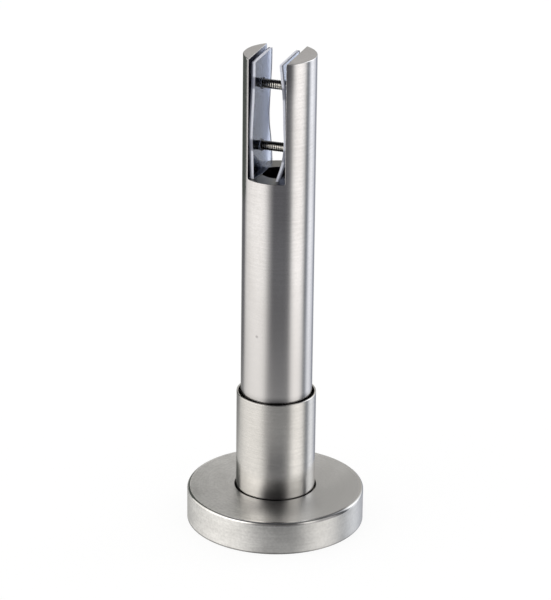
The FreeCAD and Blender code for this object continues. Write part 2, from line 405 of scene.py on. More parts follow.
def satin_layers(tree, bright, dull, rough_low, rough_high, lines):
    """Satin stainless steel, with a painted highlight along its edges: gives its colour, its roughness and
    its grain.
    """
    fine = use_group(tree, turned_grain, Lines=lines, Round=2.5, Detail=2.0)
    broad = use_group(tree, turned_grain, Lines=lines / 7, Round=5.0, Detail=3.0)
    blotch = use_group(tree, mottle, Patch=60.0, Stretch=0.35)
    edges = use_group(tree, edge_mask, Reach=0.4 * MM)
    grain = plus(tree, times(tree, fine, 0.55), times(tree, broad, 0.45))
    colour = blend_colour(tree, spread(tree, blotch), dull, bright)
    colour = blend_colour(tree, spread(tree, grain, 0.0, 0.3, half=0.15), colour, dull)
    streaks = use_group(tree, turned_grain, Lines=lines / 5, Round=1.0, Detail=1.0)
    pores = use_group(tree, mottle, Patch=900.0, Stretch=1.6)
    uneven = plus(tree, spread(tree, streaks, 0.0, 0.05), spread(tree, pores, 0.0, 0.07))
    colour = blend_colour(tree, uneven, colour, (0.0, 0.0, 0.0))
    # Painted highlight along the edges.
    colour = paint(tree, colour, shade_of(bright, 1.1), edges, strength=0.5)
    rough = plus(tree, times(tree, grain, 0.7), times(tree, blotch, 0.3))
    return colour, spread(tree, rough, rough_low, rough_high), grain


def finish_satin(tree, shader, colour, rough, grain, depth, edge_break):
    """Links the layers of satin steel to the shader and breaks the edges."""
    tree.links.new(colour, shader.inputs["Base Color"])
    tree.links.new(rough, shader.inputs["Roughness"])
    rounded = put(tree, "ShaderNodeBevel", {"Radius": edge_break}, samples=6)
    raise_lines(tree, shader, grain, depth, rounded.outputs[0])
    shader.inputs["Metallic"].default_value = 1.0


def marks_and_painted_shade(tree, place, colour, rough, dull):
    """Dulls the lower part of the post and darkens it towards the bottom with painted shade, adds a speck
    and a darker top face, and paints shade and dark reflections over the sleeve and on the head.
    """
    x, y, z = axes_of(tree, place)
    # Painted shade: the colour gets darker towards the bottom, where the post is also rougher.
    dulled_and_shaded = fade(tree, z, 175 * MM, 85 * MM)
    rough = plus(tree, rough, times(tree, dulled_and_shaded, 0.08))
    colour = paint(tree, colour, shade_of(dull, 0.85), dulled_and_shaded, strength=0.8)
    speck = (-5.1 * MM, -18.3 * MM, 111.3 * MM)
    off_speck = put(tree, "ShaderNodeVectorMath", {0: place, 1: speck}, operation="DISTANCE")
    on_speck = fade(tree, off_speck.outputs["Value"], 1.2 * MM, 0.3 * MM, 0.0, 0.38)
    colour = blend_colour(tree, on_speck, colour, (0.1, 0.1, 0.1))
    # Painted shade in a ring just over the sleeve's rim, with painted dark reflections at the front and the
    # sides.
    over_sleeve = fade(tree, z, sleeve_top + 4.5 * MM, sleeve_top)
    under_rim = fade(tree, z, sleeve_top - 4.0 * MM, sleeve_top - 1 * MM)
    shade_ring = times(tree, over_sleeve, under_rim)
    colour = paint(tree, colour, (0.05, 0.05, 0.05), shade_ring, strength=0.25)
    colour = painted_dark_sectors(tree, colour, (x, y), shade_ring, ((18, 16, 12, 0.6), (68, 9, 6, 0.5), (-52, 8, 5, 0.3)))
    # Painted dark reflection on the head, a little right of the front.
    near_top = fade(tree, z, post_top - 24 * MM, post_top - 6 * MM)
    colour = painted_dark_sectors(tree, colour, (x, y), near_top, ((33, 8, 6, 0.42),))
    on_top = work_out(tree, "GREATER_THAN", z, post_top - MILLED_SKIN)
    return paint(tree, colour, shade_of(dull, 0.5), on_top, strength=0.6), rough


def milled_and_shaded_slot(tree, place, colour, rough):
    """Dulls the walls and the floor of the slot and paints shade on them, darkest at the front and, on the
    floor, to the right; painted light makes the walls lighter to the back.
    """
    x, y, z = axes_of(tree, place)
    off_middle = work_out(tree, "ABSOLUTE", plus(tree, x, SLOT_SHIFT))
    in_slot = work_out(tree, "LESS_THAN", off_middle, SLOT_HALF_WIDTH + MILLED_SKIN)
    cut = times(tree, in_slot, work_out(tree, "GREATER_THAN", z, slot_floor_z - MILLED_SKIN))
    wall = times(tree, in_slot, work_out(tree, "GREATER_THAN", z, slot_floor_z + MILLED_SKIN))
    to_right = fade(tree, x, 2 * MM, 6 * MM)
    to_back = fade(tree, y, -6 * MM, 16 * MM)
    slot_floor_shade = blend_colour(tree, to_right, (0.19, 0.19, 0.18), (0.03, 0.03, 0.045))
    slot_wall_light_and_shade = blend_colour(tree, to_back, (0.010, 0.010, 0.022), (0.62, 0.66, 0.76))
    colour = blend_colour(tree, cut, colour, slot_floor_shade)
    colour = blend_colour(tree, wall, colour, slot_wall_light_and_shade)
    rough = plus(tree, rough, times(tree, cut, 0.22))
    rough = plus(tree, rough, times(tree, wall, 0.30))
    return colour, rough


def jaw_edge_break(tree, place):
    """Radius of the broken edges, wider at the front of the left jaw."""
    x, y, z = axes_of(tree, place)
    on_left = work_out(tree, "LESS_THAN", x, LEFT_JAW_START)
    left_front = times(tree, on_left, work_out(tree, "LESS_THAN", y, 0.0))
    left_front = times(tree, left_front, work_out(tree, "GREATER_THAN", z, slot_floor_z))
    return work_out(tree, "MULTIPLY_ADD", left_front, LEFT_JAW_EXTRA_BREAK, EDGE_BREAK)


def post_steel(name, bright, dull, rough_low, rough_high, lines, depth):
    """Satin steel with a speck, painted shade and dark reflections, and a dull milled slot darkened by
    painted shade.
    """
    material, tree, shader = new_material(name)
    place = object_place(tree)
    colour, rough, grain = satin_layers(tree, bright, dull, rough_low, rough_high, lines)
    colour, rough = marks_and_painted_shade(tree, place, colour, rough, dull)
    colour, rough = milled_and_shaded_slot(tree, place, colour, rough)
    finish_satin(tree, shader, colour, rough, grain, depth, jaw_edge_break(tree, place))
    return material


post_satin = post_steel(
    "post_satin", bright=(0.82, 0.809, 0.814), dull=(0.705, 0.690, 0.687), rough_low=0.10, rough_high=0.16,
    lines=5200.0, depth=0.003 * MM,
)
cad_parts["post"].data.materials[0] = post_satin


# Lock screw
# A 6 mm grub screw of dark oiled steel in the wall of the post.
# Its tip bears on the stud and stops the post from turning or dropping.

def oiled_steel(name, bright, dull, rough):
    """Dark screw steel with small dull specks and bright edges."""
    material, tree, shader = new_material(name)
    specks = use_group(tree, mottle, Patch=2600.0, Stretch=1.0)
    edges = use_group(tree, edge_mask, Reach=0.25 * MM)
    colour = blend_colour(tree, spread(tree, specks, half=0.15), dull, bright)
    colour = paint(tree, colour, shade_of(bright, 1.8), edges, strength=0.5)
    tree.links.new(colour, shader.inputs["Base Color"])
    tree.links.new(spread(tree, specks, rough, rough + 0.12), shader.inputs["Roughness"])
    raise_lines(tree, shader, specks, 0.01 * MM)
    shader.inputs["Metallic"].default_value = 1.0
    return material


screw_steel = oiled_steel("dark_screw_steel", bright=(0.36, 0.34, 0.31), dull=(0.24, 0.23, 0.22), rough=0.25)
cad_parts["lock_screw"].data.materials[0] = screw_steel


# Liners
# Two strips of clear plastic sheet, 2 mm thick and 27 mm wide, with frosted saw-cut edges.
# They stand loose in the slot, bowed, and keep the panel off the metal.

PLASTIC_IOR = 1.5
MERGE_DISTANCE = 0.001 * MM
SHARP_ANGLE = math.radians(35)
EDGE_START = 12 * MM
LEFT_SHADE_LIFT = 4.2 * MM
SHADE_END = 3.9 * MM
SHADE_CORE = 2.4 * MM


def middle_height(node):
    """Height of the middle of a CAD node."""
    low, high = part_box(node)
    return (low.z + high.z) / 2


SCREW_LEVELS = [middle_height("clamp_screw_" + level) for level in ("upper", "lower")]


def fine_lines(tree, place, scale):
    """Noise stretched into lines by a scale along each axis."""
    drawn = put(tree, "ShaderNodeMapping", {"Vector": place, "Scale": scale})
    return put(tree, "ShaderNodeTexNoise", {
        "Vector": drawn.outputs[0], "Scale": 1.0, "Detail": 2.0,
    }).outputs["Fac"]


def clear_plastic(name, tint, rough):
    """Clear sheet with faint drawing lines and a soft haze."""
    material, tree, shader = new_material(name)
    lines = fine_lines(tree, object_place(tree), (900.0, 900.0, 60.0))
    haze = use_group(tree, mottle, Patch=220.0, Stretch=0.4)
    tree.links.new(fade(tree, haze, 0.35, 0.7, rough, rough + 0.08), shader.inputs["Roughness"])
    colour = blend_colour(tree, spread(tree, haze), tint, shade_of(tint, 1.05))
    tree.links.new(colour, shader.inputs["Base Color"])
    raise_lines(tree, shader, lines, 0.002 * MM)
    shader.inputs["Transmission Weight"].default_value = 1.0
    shader.inputs["IOR"].default_value = PLASTIC_IOR
    return material


def frosted_edge(name, tint):
    """Saw-cut edge of clear sheet: pale, finely lined and half see-through.

    Painted shade darkens it on the jaw's side, and where a clamp screw would show through it, higher on the
    left.
    """
    material, tree, shader = new_material(name)
    place = object_place(tree)
    lines = fine_lines(tree, place, (300.0, 300.0, 2500.0))
    colour = blend_colour(tree, spread(tree, lines, half=0.15), shade_of(tint, 0.86), tint)
    x, y, z = axes_of(tree, place)
    outer = work_out(tree, "GREATER_THAN", work_out(tree, "ABSOLUTE", y), EDGE_START)
    seen_at = work_out(tree, "MULTIPLY_ADD", work_out(tree, "LESS_THAN", x, 0.0), -LEFT_SHADE_LIFT, z)
    # Painted shade where a clamp screw would show through the edge.
    for level in SCREW_LEVELS:
        off_level = work_out(tree, "ABSOLUTE", work_out(tree, "SUBTRACT", seen_at, level))
        screw_shade = times(tree, fade(tree, off_level, SHADE_END, SHADE_CORE), outer)
        colour = paint(tree, colour, (0.16, 0.17, 0.22), screw_shade, strength=0.8)
    # Painted shade on the jaw's side of the edge.
    jaw_side = put(tree, "ShaderNodeAttribute", attribute_name="jaw_side").outputs["Fac"]
    colour = blend_colour(tree, fade(tree, jaw_side, 0.50, 0.72, 0.0, 0.92), colour, (0.08, 0.09, 0.13))
    tree.links.new(colour, shader.inputs["Base Color"])
    raise_lines(tree, shader, lines, 0.01 * MM)
    shader.inputs["Roughness"].default_value = 0.38
    shader.inputs["Transmission Weight"].default_value = 0.25
    shader.inputs["IOR"].default_value = PLASTIC_IOR
    return material


liner_clear = clear_plastic("liner_clear", tint=(0.66, 0.73, 0.90), rough=0.05)
liner_edge = frosted_edge("liner_edge", tint=(0.80, 0.82, 0.91))


def sheet_from(node):
    """Merged copy of a liner's CAD mesh: its broad faces clear, its edges and holes frosted.

    The attribute jaw_side is 1 on the broad face that looks at the jaw, and 0 on the other.
    """
    shell = bmesh.new()
    shell.from_mesh(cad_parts[node].data)
    bmesh.ops.remove_doubles(shell, verts=shell.verts, dist=MERGE_DISTANCE)
    shell.verts.index_update()
    corners = [tuple(v.co) for v in shell.verts]
    faces = [[v.index for v in face.verts] for face in shell.faces]
    shell.free()
    mesh = bpy.data.meshes.new(node + "_sheet")
    mesh.from_pydata(corners, [], faces)
    mesh.materials.append(liner_clear)
    mesh.materials.append(liner_edge)
    jaw_side = mesh.attributes.new("jaw_side", "FLOAT", "POINT")
    toward_jaw = -1 if node == "liner_left" else 1
    broad = 0.5
    for face in mesh.polygons:
        face.use_smooth = True
        face.material_index = 0 if abs(face.normal.x) > broad else 1
        if face.normal.x * toward_jaw > broad:
            for corner in face.vertices:
                jaw_side.data[corner].value = 1.0
    mesh.set_sharp_from_angle(angle=SHARP_ANGLE)
    return mesh


for side in ("left", "right"):
    node = "liner_" + side
    show("sheet_" + side, sheet_from(node), "post", "clear_plastic", node)


# Clamp screws
# Two M5 socket screws, 30 mm long, of dark oiled steel with a rolled thread.
# Their heads sit in pockets of the left jaw and their tips in the right jaw.

CLAMP_PITCH = 1.0 * MM
CLAMP_THREAD_DEPTH = 0.50 * CLAMP_PITCH
CLAMP_RINGS_PER_TURN = 8
CLAMP_SIDES = 48
CLAMP_SHANK_RADIUS = 2.5 * MM
CLAMP_END_CHAMFER = 0.5 * MM
CLAMP_HEAD_HEIGHT = 3.5 * MM
CLAMP_HEAD_CHAMFER = 0.3 * MM
CLAMP_SOCKET_FLATS = 3.0 * MM
CLAMP_SOCKET_DEPTH = 2.0 * MM
GLINT_BAND_DROP = 0.4 * MM
GLINT_BAND_CORE = 1.1 * MM
GLINT_BAND_END = 2.0 * MM


def thread_steel(name, root, crest, glint_colour, glint_from, glint_to):
    """Oiled thread: roots darkened by painted shade, and crests with a painted glint that gets brighter
    along X.

    The painted glint keeps to a band along the screw, a little below its middle.
    """
    material, tree, shader = new_material(name)
    x, _, z = axes_of(tree, object_place(tree))
    high = put(tree, "ShaderNodeAttribute", attribute_name="crest").outputs["Fac"]
    # Painted glint: bright crests in a band along each screw.
    off_band = 1.0
    for level in SCREW_LEVELS:
        aside = work_out(tree, "ABSOLUTE", work_out(tree, "SUBTRACT", z, level - GLINT_BAND_DROP))
        off_band = work_out(tree, "MINIMUM", off_band, aside)
    in_band = fade(tree, off_band, GLINT_BAND_END, GLINT_BAND_CORE)
    polish = times(tree, fade(tree, x, glint_from, glint_to), in_band)
    tops = blend_colour(tree, polish, crest, glint_colour)
    # Painted shade in the thread's roots; the crests carry the steel's colour and the painted glint.
    colour = blend_colour(tree, fade(tree, high, 0.30, 0.75), root, tops)
    tree.links.new(colour, shader.inputs["Base Color"])
    shader.inputs["Roughness"].default_value = 0.12
    shader.inputs["Metallic"].default_value = 1.0
    return material


clamp_thread = thread_steel(
    "clamp_thread", root=(0.012, 0.011, 0.010), crest=(0.11, 0.105, 0.10), glint_colour=(1.0, 0.98, 0.93),
    glint_from=-12 * MM, glint_to=-1 * MM,
)


def ring_of(shell, radius_at, sides, height):
    """Corners round the Z axis at one height, their radius a function of the angle."""
    ring = []
    for k in range(sides):
        angle = math.tau * k / sides
        radius = radius_at(angle)
        ring.append(shell.verts.new((radius * math.cos(angle), radius * math.sin(angle), height)))
    return ring


def wall_between(shell, lower, upper):
    """Faces from one ring to the next."""
    for k in range(len(lower)):
        after = (k + 1) % len(lower)
        shell.faces.new((lower[k], lower[after], upper[after], upper[k]))


def finished_shell(shell, name):
    """Turns the faces outwards and gives the shell as a mesh."""
    bmesh.ops.recalc_face_normals(shell, faces=shell.faces)
    mesh = bpy.data.meshes.new(name)
    shell.to_mesh(mesh)
    shell.free()
    return mesh


def hexagon(flats):
    """Radius of a hexagon at an angle, from its width across flats."""
    sixth = math.radians(60)
    return lambda angle: flats / 2 / math.cos(angle % sixth - sixth / 2)


def circle(radius):
    """The same radius at every angle."""
    return lambda angle: radius


def make_socket_head(radius):
    """Closed head along Z, its top at z 0 and its seat below, with a hexagon socket."""
    levels = (
        (hexagon(CLAMP_SOCKET_FLATS), -CLAMP_SOCKET_DEPTH),
        (hexagon(CLAMP_SOCKET_FLATS), 0),
        (circle(radius - CLAMP_HEAD_CHAMFER), 0),
        (circle(radius), -CLAMP_HEAD_CHAMFER),
        (circle(radius), -CLAMP_HEAD_HEIGHT),
    )
    shell = bmesh.new()
    rings = [ring_of(shell, radius_at, CLAMP_SIDES, height) for radius_at, height in levels]
    for lower, upper in zip(rings, rings[1:]):
        wall_between(shell, lower, upper)
    shell.faces.new(rings[0])
    shell.faces.new(rings[-1])
    mesh = finished_shell(shell, "socket_head")
    mesh.materials.append(screw_steel)
    return mesh


def join_meshes(name, *meshes):
    """One mesh from several, each keeping its own material."""
    joined = bmesh.new()
    whole = bpy.data.meshes.new(name)
    for index, mesh in enumerate(meshes):
        first = len(joined.faces)
        joined.from_mesh(mesh)
        joined.faces.ensure_lookup_table()
        for face in joined.faces[first:]:
            face.material_index = index
        whole.materials.append(mesh.materials[0])
    joined.to_mesh(whole)
    joined.free()
    return whole


for level in ("upper", "lower"):
    node = "clamp_screw_" + level
    low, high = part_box(node)
    centre_z = middle_height(node)
    head = make_socket_head((high.z - low.z) / 2)
    head.transform(Matrix.Translation((low.x, 0, centre_z)) @ Matrix.Rotation(math.radians(-90), 4, "Y"))
    shank_start = low.x + CLAMP_HEAD_HEIGHT - CLAMP_HEAD_CHAMFER
    shank_length = high.x - shank_start
    shank = plain_mesh_from(thread_tree, node + "_shank", {
        "Crest Radius": CLAMP_SHANK_RADIUS,
        "Thread Depth": CLAMP_THREAD_DEPTH,
        "Pitch": CLAMP_PITCH,
        "Length": shank_length,
        "End Chamfer": CLAMP_END_CHAMFER,
        "Sides": CLAMP_SIDES,
        "Rings": round(shank_length / CLAMP_PITCH) * CLAMP_RINGS_PER_TURN,
        "Finish": clamp_thread,
    })
    along_x = Matrix.Rotation(math.radians(90), 4, "Y")
    shank.transform(Matrix.Translation((shank_start + shank_length / 2, 0, centre_z)) @ along_x)
    screw = join_meshes("screw_" + level, shank, head)
    show("screw_" + level, screw, node, "screw_steel", node)


# Cover sleeve
# A cut length of 42.4 mm stainless tube, satin finished, its rim lightly broken.
# It stands loose on the base plate and hides the nut and the stud.

SLEEVE_FOOT_TOP = 34 * MM
rosette_low, rosette_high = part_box("cover_rosette")


def sleeve_steel(name, bright, dull, rough_low, rough_high, lines, depth):
    """Satin steel with painted dark reflections and shade that fade upwards from the rosette's top."""
    material, tree, shader = new_material(name)
    x, y, z = axes_of(tree, object_place(tree))
    colour, rough, grain = satin_layers(tree, bright, dull, rough_low, rough_high, lines)
    low = fade(tree, z, SLEEVE_FOOT_TOP, rosette_high.z)
    # Painted dark reflections and shade at the foot, over the rosette.
    colour = painted_dark_sectors(tree, colour, (x, y), low, ((14, 18, 9, 0.62), (-57, 12, 3, 0.62), (66, 3, 2.5, 0.62)))
    finish_satin(tree, shader, colour, rough, grain, depth, EDGE_BREAK)
    return material


sleeve_satin = sleeve_steel(
    "sleeve_satin", bright=(0.72, 0.705, 0.682), dull=(0.645, 0.632, 0.61), rough_low=0.17, rough_high=0.25,
    lines=4600.0, depth=0.003 * MM,
)
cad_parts["cover_sleeve"].data.materials[0] = sleeve_satin


# Cover rosette
# A pressed and turned stainless cover with a rounded rim, satin finished.
# It lies loose over the base plate, round the sleeve.

ROSETTE_WALL = 1.5 * MM
ROSETTE_CROWN = 1.0 * MM
ROSETTE_HOLE_RADIUS = 22.0 * MM
ROSETTE_RIM_RADIUS = 1.5 * MM
ROSETTE_RIM_STEPS = 8
ROSETTE_EDGE_BREAK = 0.2 * MM
ROSETTE_SIDES = 192
rosette_radius = (rosette_high.x - rosette_low.x) / 2
crown_z = rosette_high.z
rim_z = crown_z - ROSETTE_CROWN


def rosette_steel(name, bright, dull, rough, rim_rough):
    """Satin stainless, mottled on top, with a burnished rim and a painted highlight on its edges; painted
    shade darkens the foot at the floor, the top round the hole, the right side and the crown, and paints a
    dark reflection on the rim.
    """
    material, tree, shader = new_material(name)
    x, y, z = axes_of(tree, object_place(tree))
    radius = from_axis(tree, x, y)
    grain = use_group(tree, turned_grain, Lines=3600.0, Round=2.5, Detail=2.0)
    blotch = use_group(tree, mottle, Patch=70.0, Stretch=1.0)
    edges = use_group(tree, edge_mask, Reach=0.4 * MM)
    colour = blend_colour(tree, spread(tree, blotch, half=0.15), dull, bright)
    colour = blend_colour(tree, spread(tree, grain, 0.0, 0.25, half=0.15), colour, dull)
    streaks = use_group(tree, turned_grain, Lines=800.0, Round=3.0, Detail=2.0)
    pores = use_group(tree, mottle, Patch=700.0, Stretch=1.0)
    uneven = plus(tree, spread(tree, streaks, 0.0, 0.09), spread(tree, pores, 0.0, 0.13))
    colour = blend_colour(tree, uneven, colour, (0.0, 0.0, 0.0))
    # Painted highlight along the edges.
    colour = paint(tree, colour, bright, edges, strength=0.4)
    # Painted contact shadow along the foot, at the floor.
    floor_contact_shade = fade(tree, z, 1.1 * MM, 0.5 * MM)
    colour = paint(tree, colour, (0.10, 0.10, 0.10), floor_contact_shade, strength=0.75)

    # Painted dark reflection of the sleeve, and painted shade, on the top round the hole.
    by_hole = fade(tree, radius, 44 * MM, 27 * MM)
    top_by_hole = times(tree, by_hole, work_out(tree, "GREATER_THAN", z, rim_z))
    hole_shade_patches = ((16, 22, 13, 0.65), (18, 42, 20, 0.2), (54, 46, 14, 0.3), (50, 17, 14, 0.4))
    colour = painted_dark_sectors(tree, colour, (x, y), top_by_hole, hole_shade_patches)
    # Painted shade: darker to the right, above the skirt, and on the crown.
    right_half = fade(tree, x, -4 * MM, 24 * MM, 0.0, 0.52)
    right_end = fade(tree, x, 26 * MM, 38 * MM, 0.0, 0.35)
    above_skirt = fade(tree, z, rim_z - 1 * MM, rim_z, 0.50, 1.0)
    on_crown = fade(tree, z, rim_z, crown_z, 0.0, 0.27)
    dulled_and_shaded = plus(tree, times(tree, plus(tree, right_half, right_end), above_skirt), on_crown)
    colour = blend_colour(tree, dulled_and_shaded, colour, shade_of(dull, 0.65))

    # Painted dark reflection on the rim, to the right of the front; the rim is also burnished, less rough.
    near_outside = fade(tree, radius, rosette_radius - 2.2 * MM, rosette_radius - 1.4 * MM)
    rim = times(tree, near_outside, fade(tree, z, 16.0 * MM, 16.8 * MM))
    colour = painted_dark_sectors(tree, colour, (x, y), rim, ((58, 14, 6, 0.65),))
    uneven_rough = plus(tree, grain, times(tree, blotch, 0.5))
    satin_rough = fade(tree, uneven_rough, 0.5, 1.0, rough, rough + 0.1)
    to_rim = work_out(tree, "SUBTRACT", rim_rough, satin_rough)
    burnished = work_out(tree, "MULTIPLY_ADD", rim, to_rim, satin_rough)
    tree.links.new(colour, shader.inputs["Base Color"])
    tree.links.new(burnished, shader.inputs["Roughness"])
    raise_lines(tree, shader, grain, 0.004 * MM)
    shader.inputs["Metallic"].default_value = 1.0
    return material


def rosette_outline():
    """Section of the rosette's wall as (radius, height) points, from its inner foot outwards."""
    inner_radius = rosette_radius - ROSETTE_WALL
    rim_turn = math.pi / 2 - math.atan2(ROSETTE_CROWN, rosette_radius - ROSETTE_HOLE_RADIUS)
    rim_foot_z = rim_z - ROSETTE_RIM_RADIUS * math.tan(rim_turn / 2)
    points = [
        (inner_radius, 0),
        (rosette_radius - ROSETTE_EDGE_BREAK, 0),
        (rosette_radius, ROSETTE_EDGE_BREAK),
    ]
    for step in range(ROSETTE_RIM_STEPS + 1):
        angle = rim_turn * step / ROSETTE_RIM_STEPS
        radius = rosette_radius - ROSETTE_RIM_RADIUS * (1 - math.cos(angle))
        points.append((radius, rim_foot_z + ROSETTE_RIM_RADIUS * math.sin(angle)))
    return points + [
        (ROSETTE_HOLE_RADIUS + ROSETTE_EDGE_BREAK, crown_z),
        (ROSETTE_HOLE_RADIUS, crown_z - ROSETTE_EDGE_BREAK),
        (ROSETTE_HOLE_RADIUS, crown_z - ROSETTE_WALL),
        (inner_radius, rim_z - ROSETTE_WALL),
    ]


def turned_shell(name, outline, sides, finish):
    """Closed ring turned about Z from an outline of (radius, height) points."""
    shell = bmesh.new()
    rings = [ring_of(shell, circle(radius), sides, height) for radius, height in outline]
    for lower, upper in zip(rings, rings[1:] + rings[:1]):
        wall_between(shell, lower, upper)
    mesh = finished_shell(shell, name)
    for face in mesh.polygons:
        face.use_smooth = True
    mesh.set_sharp_from_angle(angle=SHARP_ANGLE)
    mesh.materials.append(finish)
    return mesh


rosette_satin = rosette_steel(
    "rosette_satin", bright=(0.87, 0.865, 0.85), dull=(0.75, 0.745, 0.73), rough=0.33, rim_rough=0.12,
)
rosette_mesh = turned_shell("rosette_shell", rosette_outline(), ROSETTE_SIDES, rosette_satin)
show("rosette_shell", rosette_mesh, "cover_rosette", "satin_stainless", "cover_rosette")


# Floor
# A plain pale floor that keeps a soft shadow; it isn't part of the object.
# The camera sees it lit up, and the metal and the plastic don't see it.

FLOOR_HALF = 3.0
FLOOR_GLOW_SHARE = 0.85


def flat_card(name, corners):
    """One flat face as an object in the scene."""
    mesh = bpy.data.meshes.new(name)
    mesh.from_pydata(corners, [], [(0, 1, 2, 3)])
    card = bpy.data.objects.new(name, mesh)
    bpy.context.scene.collection.objects.link(card)
    return card


def square(half):
    """Corners of a square at floor level, its middle under the object."""
    return [(-half, -half, 0), (half, -half, 0), (half, half, 0), (-half, half, 0)]


def bare_material(name):
    """Material without a shader; gives the material, its tree and the surface socket to fill."""
    material, tree, shader = new_material(name)
    tree.nodes.remove(shader)
    return material, tree, tree.nodes["Material Output"].inputs["Surface"]


def floor_paint(name):
    """Matt white that glows for the camera alone."""
    material, tree, surface = bare_material(name)
    matt = put(tree, "ShaderNodeBsdfDiffuse", {"Color": (0.97, 0.97, 0.97, 1)})
    glow = put(tree, "ShaderNodeEmission", {"Color": (1, 1, 1, 1), "Strength": 1.0})
    seen = put(tree, "ShaderNodeLightPath").outputs["Is Camera Ray"]
    glow_share = times(tree, seen, FLOOR_GLOW_SHARE)
    mixed = put(tree, "ShaderNodeMixShader", {0: glow_share, 1: matt.outputs[0], 2: glow.outputs[0]})
    tree.links.new(mixed.outputs[0], surface)
    return material


floor = flat_card("floor", square(FLOOR_HALF))
floor.data.materials.append(floor_paint("floor_paint"))
floor.visible_glossy = False
floor.visible_transmission = False


# Flag
# A dark studio card at the left, seen only in reflections.
# It darkens the outer side of the left jaw.

FLAG_DISTANCE = 0.35
FLAG_HALF_WIDTH = 0.135
FLAG_FOOT = 0.055
FLAG_TOP = 0.5
FLAG_DIRECTION = math.radians(-126)


def flag_corners():
    """Corners of an upright card that faces the axis."""
    toward = Vector((math.sin(FLAG_DIRECTION), -math.cos(FLAG_DIRECTION), 0))
    along = Vector((-toward.y, toward.x, 0))
    corners = []
    for side, height in ((-1, FLAG_FOOT), (1, FLAG_FOOT), (1, FLAG_TOP), (-1, FLAG_TOP)):
        spot = toward * FLAG_DISTANCE + along * side * FLAG_HALF_WIDTH
        corners.append((spot.x, spot.y, height))
    return corners


def flag_cloth(name):
    """Even dark grey, whatever light falls on it."""
    material, tree, surface = bare_material(name)
    cloth = put(tree, "ShaderNodeEmission", {"Color": (0.09, 0.10, 0.09, 1), "Strength": 1.0})
    tree.links.new(cloth.outputs[0], surface)
    return material


def seen_in_reflections_only(card):
    """Leaves a card to reflections alone; it throws no shadow."""
    card.visible_camera = False
    card.visible_diffuse = False
    card.visible_transmission = False
    card.visible_shadow = False


flag = flat_card("flag", flag_corners())
flag.data.materials.append(flag_cloth("flag_cloth"))
seen_in_reflections_only(flag)


# Dark card
# Dark paper that lies on the floor before the object and at its left, seen only in reflections.
# It darkens the front of the post; the sleeve and the rosette stand too low to catch much of it.

CARD_HALF = 2.0


def sector(tree, direction, reach, middle, half, soft, near, far):
    """White inside a sector of the floor, seen from the object: degrees, then metres."""
    aside = work_out(tree, "ABSOLUTE", work_out(tree, "SUBTRACT", direction, math.radians(middle)))
    across = fade(tree, aside, math.radians(half + soft), math.radians(half - soft))
    return times(tree, across, fade(tree, reach, near, far))


def card_paper(name):
    """Dark grey paper in three sectors, clear between them; its tone changes with the distance."""
    material, tree, surface = bare_material(name)
    x, y, _ = axes_of(tree, object_place(tree))
    reach = from_axis(tree, x, y)
    direction = direction_of(tree, x, y)
    front = sector(tree, direction, reach, middle=24, half=29, soft=12, near=0.13, far=0.30)
    close = sector(tree, direction, reach, middle=20, half=22, soft=10, near=0.08, far=0.10)
    close = times(tree, close, fade(tree, reach, 0.14, 0.10))
    left = sector(tree, direction, reach, middle=-124, half=17, soft=9, near=0.04, far=0.26)
    dark = work_out(tree, "MAXIMUM", work_out(tree, "MAXIMUM", front, close), left)
    tone = blend_colour(tree, fade(tree, reach, 0.12, 0.20), (0.09, 0.09, 0.10), (0.19, 0.19, 0.195))
    tone = blend_colour(tree, fade(tree, reach, 0.2, 0.6), tone, (0.125, 0.125, 0.135))
    paper = put(tree, "ShaderNodeEmission", {"Color": tone, "Strength": 1.0})
    clear = put(tree, "ShaderNodeBsdfTransparent")
    shown = put(tree, "ShaderNodeMixShader", {0: dark, 1: clear.outputs[0], 2: paper.outputs[0]})
    tree.links.new(shown.outputs[0], surface)
    return material


card = flat_card("dark_card", square(CARD_HALF))
card.data.materials.append(card_paper("card_paper"))
seen_in_reflections_only(card)


# Camera
# The photograph's view, from a fit of the post, sleeve and rosette.
# The fit also gave a small roll and the shift of the picture's centre.

CAMERA_AZIMUTH = math.radians(18.131)
CAMERA_ELEVATION = math.radians(22.322)
CAMERA_ROLL = math.radians(0.674)
CAMERA_DISTANCE = 1.59736
CAMERA_TARGET = Vector((0, 0, 0.125737))
FOCAL_PIXELS = 3033.4
PHOTO_HEIGHT = 600
AXIS_OFFSET_PIXELS = 1.902
NEAREST_SEEN = 0.05

back = Vector((
    math.sin(CAMERA_AZIMUTH) * math.cos(CAMERA_ELEVATION),
    -math.cos(CAMERA_AZIMUTH) * math.cos(CAMERA_ELEVATION),
    math.sin(CAMERA_ELEVATION),
))
level_right = Vector((math.cos(CAMERA_AZIMUTH), math.sin(CAMERA_AZIMUTH), 0))
level_up = back.cross(level_right)
right = level_right * math.cos(CAMERA_ROLL) + level_up * math.sin(CAMERA_ROLL)
up = level_up * math.cos(CAMERA_ROLL) - level_right * math.sin(CAMERA_ROLL)
lens_data = bpy.data.cameras.new("camera")
lens_data.lens = FOCAL_PIXELS * lens_data.sensor_width / PHOTO_HEIGHT
lens_data.shift_x = -AXIS_OFFSET_PIXELS / PHOTO_HEIGHT
lens_data.clip_start = NEAREST_SEEN
camera = bpy.data.objects.new("camera", lens_data)
stand = Matrix.Translation(CAMERA_TARGET + back * CAMERA_DISTANCE)
camera.matrix_world = stand @ Matrix((right, up, back)).transposed().to_4x4()
bpy.context.scene.collection.objects.link(camera)
bpy.context.scene.camera = camera


# Studio
# Plain white for the camera, for diffuse light and through the plastic. Reflections see pale
# and dark cards that stand round the object, a sky over them and a darker zenith.

